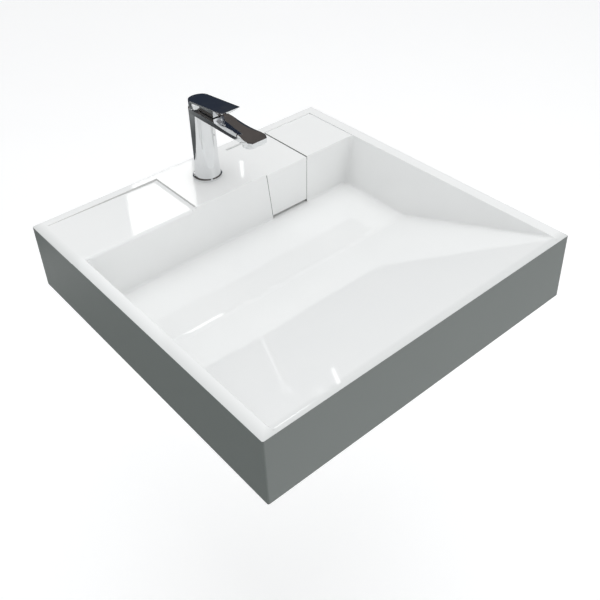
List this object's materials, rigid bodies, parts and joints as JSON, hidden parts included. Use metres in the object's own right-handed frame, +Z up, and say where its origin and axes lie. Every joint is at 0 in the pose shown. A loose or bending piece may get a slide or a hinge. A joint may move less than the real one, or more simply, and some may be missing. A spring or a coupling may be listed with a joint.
{
  "type": "washbasin",
  "caption": "Square wall-hung washbasin with a ramp floor, soap shelf, lift-off cover over the hidden waste and a single-lever mixer tap.",
  "frame": {"origin": "on the back face, midway between the two wall-bolt holes, at half the basin's height", "axes": "+X to the user's right, +Y into the wall, +Z up; the user stands on the -Y side"},
  "size_m": [0.6, 0.6, 0.3285],
  "materials": {
    "cast_white": "gloss",
    "chrome_plate": "mirror",
    "stainless": "brushed",
    "nut_brass": "machined",
    "seal_rubber": "matte",
    "white_plastic": "satin",
    "cartridge_plastic": "matte",
    "disc_ceramic": "lapped",
    "jet_plastic": "matte",
    "plug_plastic": "gloss"
  },
  "bodies": {
    "root": {"basin": "cast_white", "strainer_grid": "stainless", "strainer_screw": "stainless", "upper_waste_gasket": "seal_rubber", "lower_waste_gasket": "seal_rubber", "waste_body": "white_plastic", "tap_body": "chrome_plate", "base_ring": "chrome_plate", "base_seal": "seal_rubber", "mounting_stud": "stainless", "rubber_horseshoe": "seal_rubber", "steel_horseshoe": "stainless", "mounting_nut": "nut_brass", "cartridge_seals": "seal_rubber", "cartridge_base": "cartridge_plastic", "fixed_disc": "disc_ceramic", "cartridge_housing": "cartridge_plastic", "cartridge_nut": "nut_brass", "dome_ring": "chrome_plate", "aerator_housing": "chrome_plate", "aerator_insert": "jet_plastic", "aerator_washer": "seal_rubber"},
    "cover": {"drain_cover": "cast_white"},
    "rotor": {"cartridge_rotor": "cartridge_plastic", "spindle_pin": "stainless"},
    "slider": {"moving_disc": "disc_ceramic", "disc_carrier": "cartridge_plastic"},
    "handle": {"lever": "chrome_plate", "spindle": "stainless", "lever_set_screw": "stainless", "indicator_plug": "plug_plastic"}
  },
  "joints": [
    {"name": "cover_lift", "type": "slide", "parent": "root", "child": "cover", "axis": [0, 0, 1], "range_m": [0, 0.11]},
    {"name": "lever_swivel", "type": "hinge", "parent": "root", "child": "rotor", "pos_m": [0, -0.068, 0.176], "axis": [0, 0, 1], "range_deg": [-45, 45]},
    {"name": "lever_tilt", "type": "hinge", "parent": "rotor", "child": "handle", "pos_m": [0, -0.068, 0.176], "axis": [-1, 0, 0], "range_deg": [0, 20]},
    {"name": "disc_slide", "type": "slide", "parent": "rotor", "child": "slider", "axis": [0, -1, 0], "range_m": [0, 0.0032]}
  ],
  "couplings": [
    {"joint": "disc_slide", "follows": "lever_tilt", "m_per_rad": 0.00895}
  ]
}
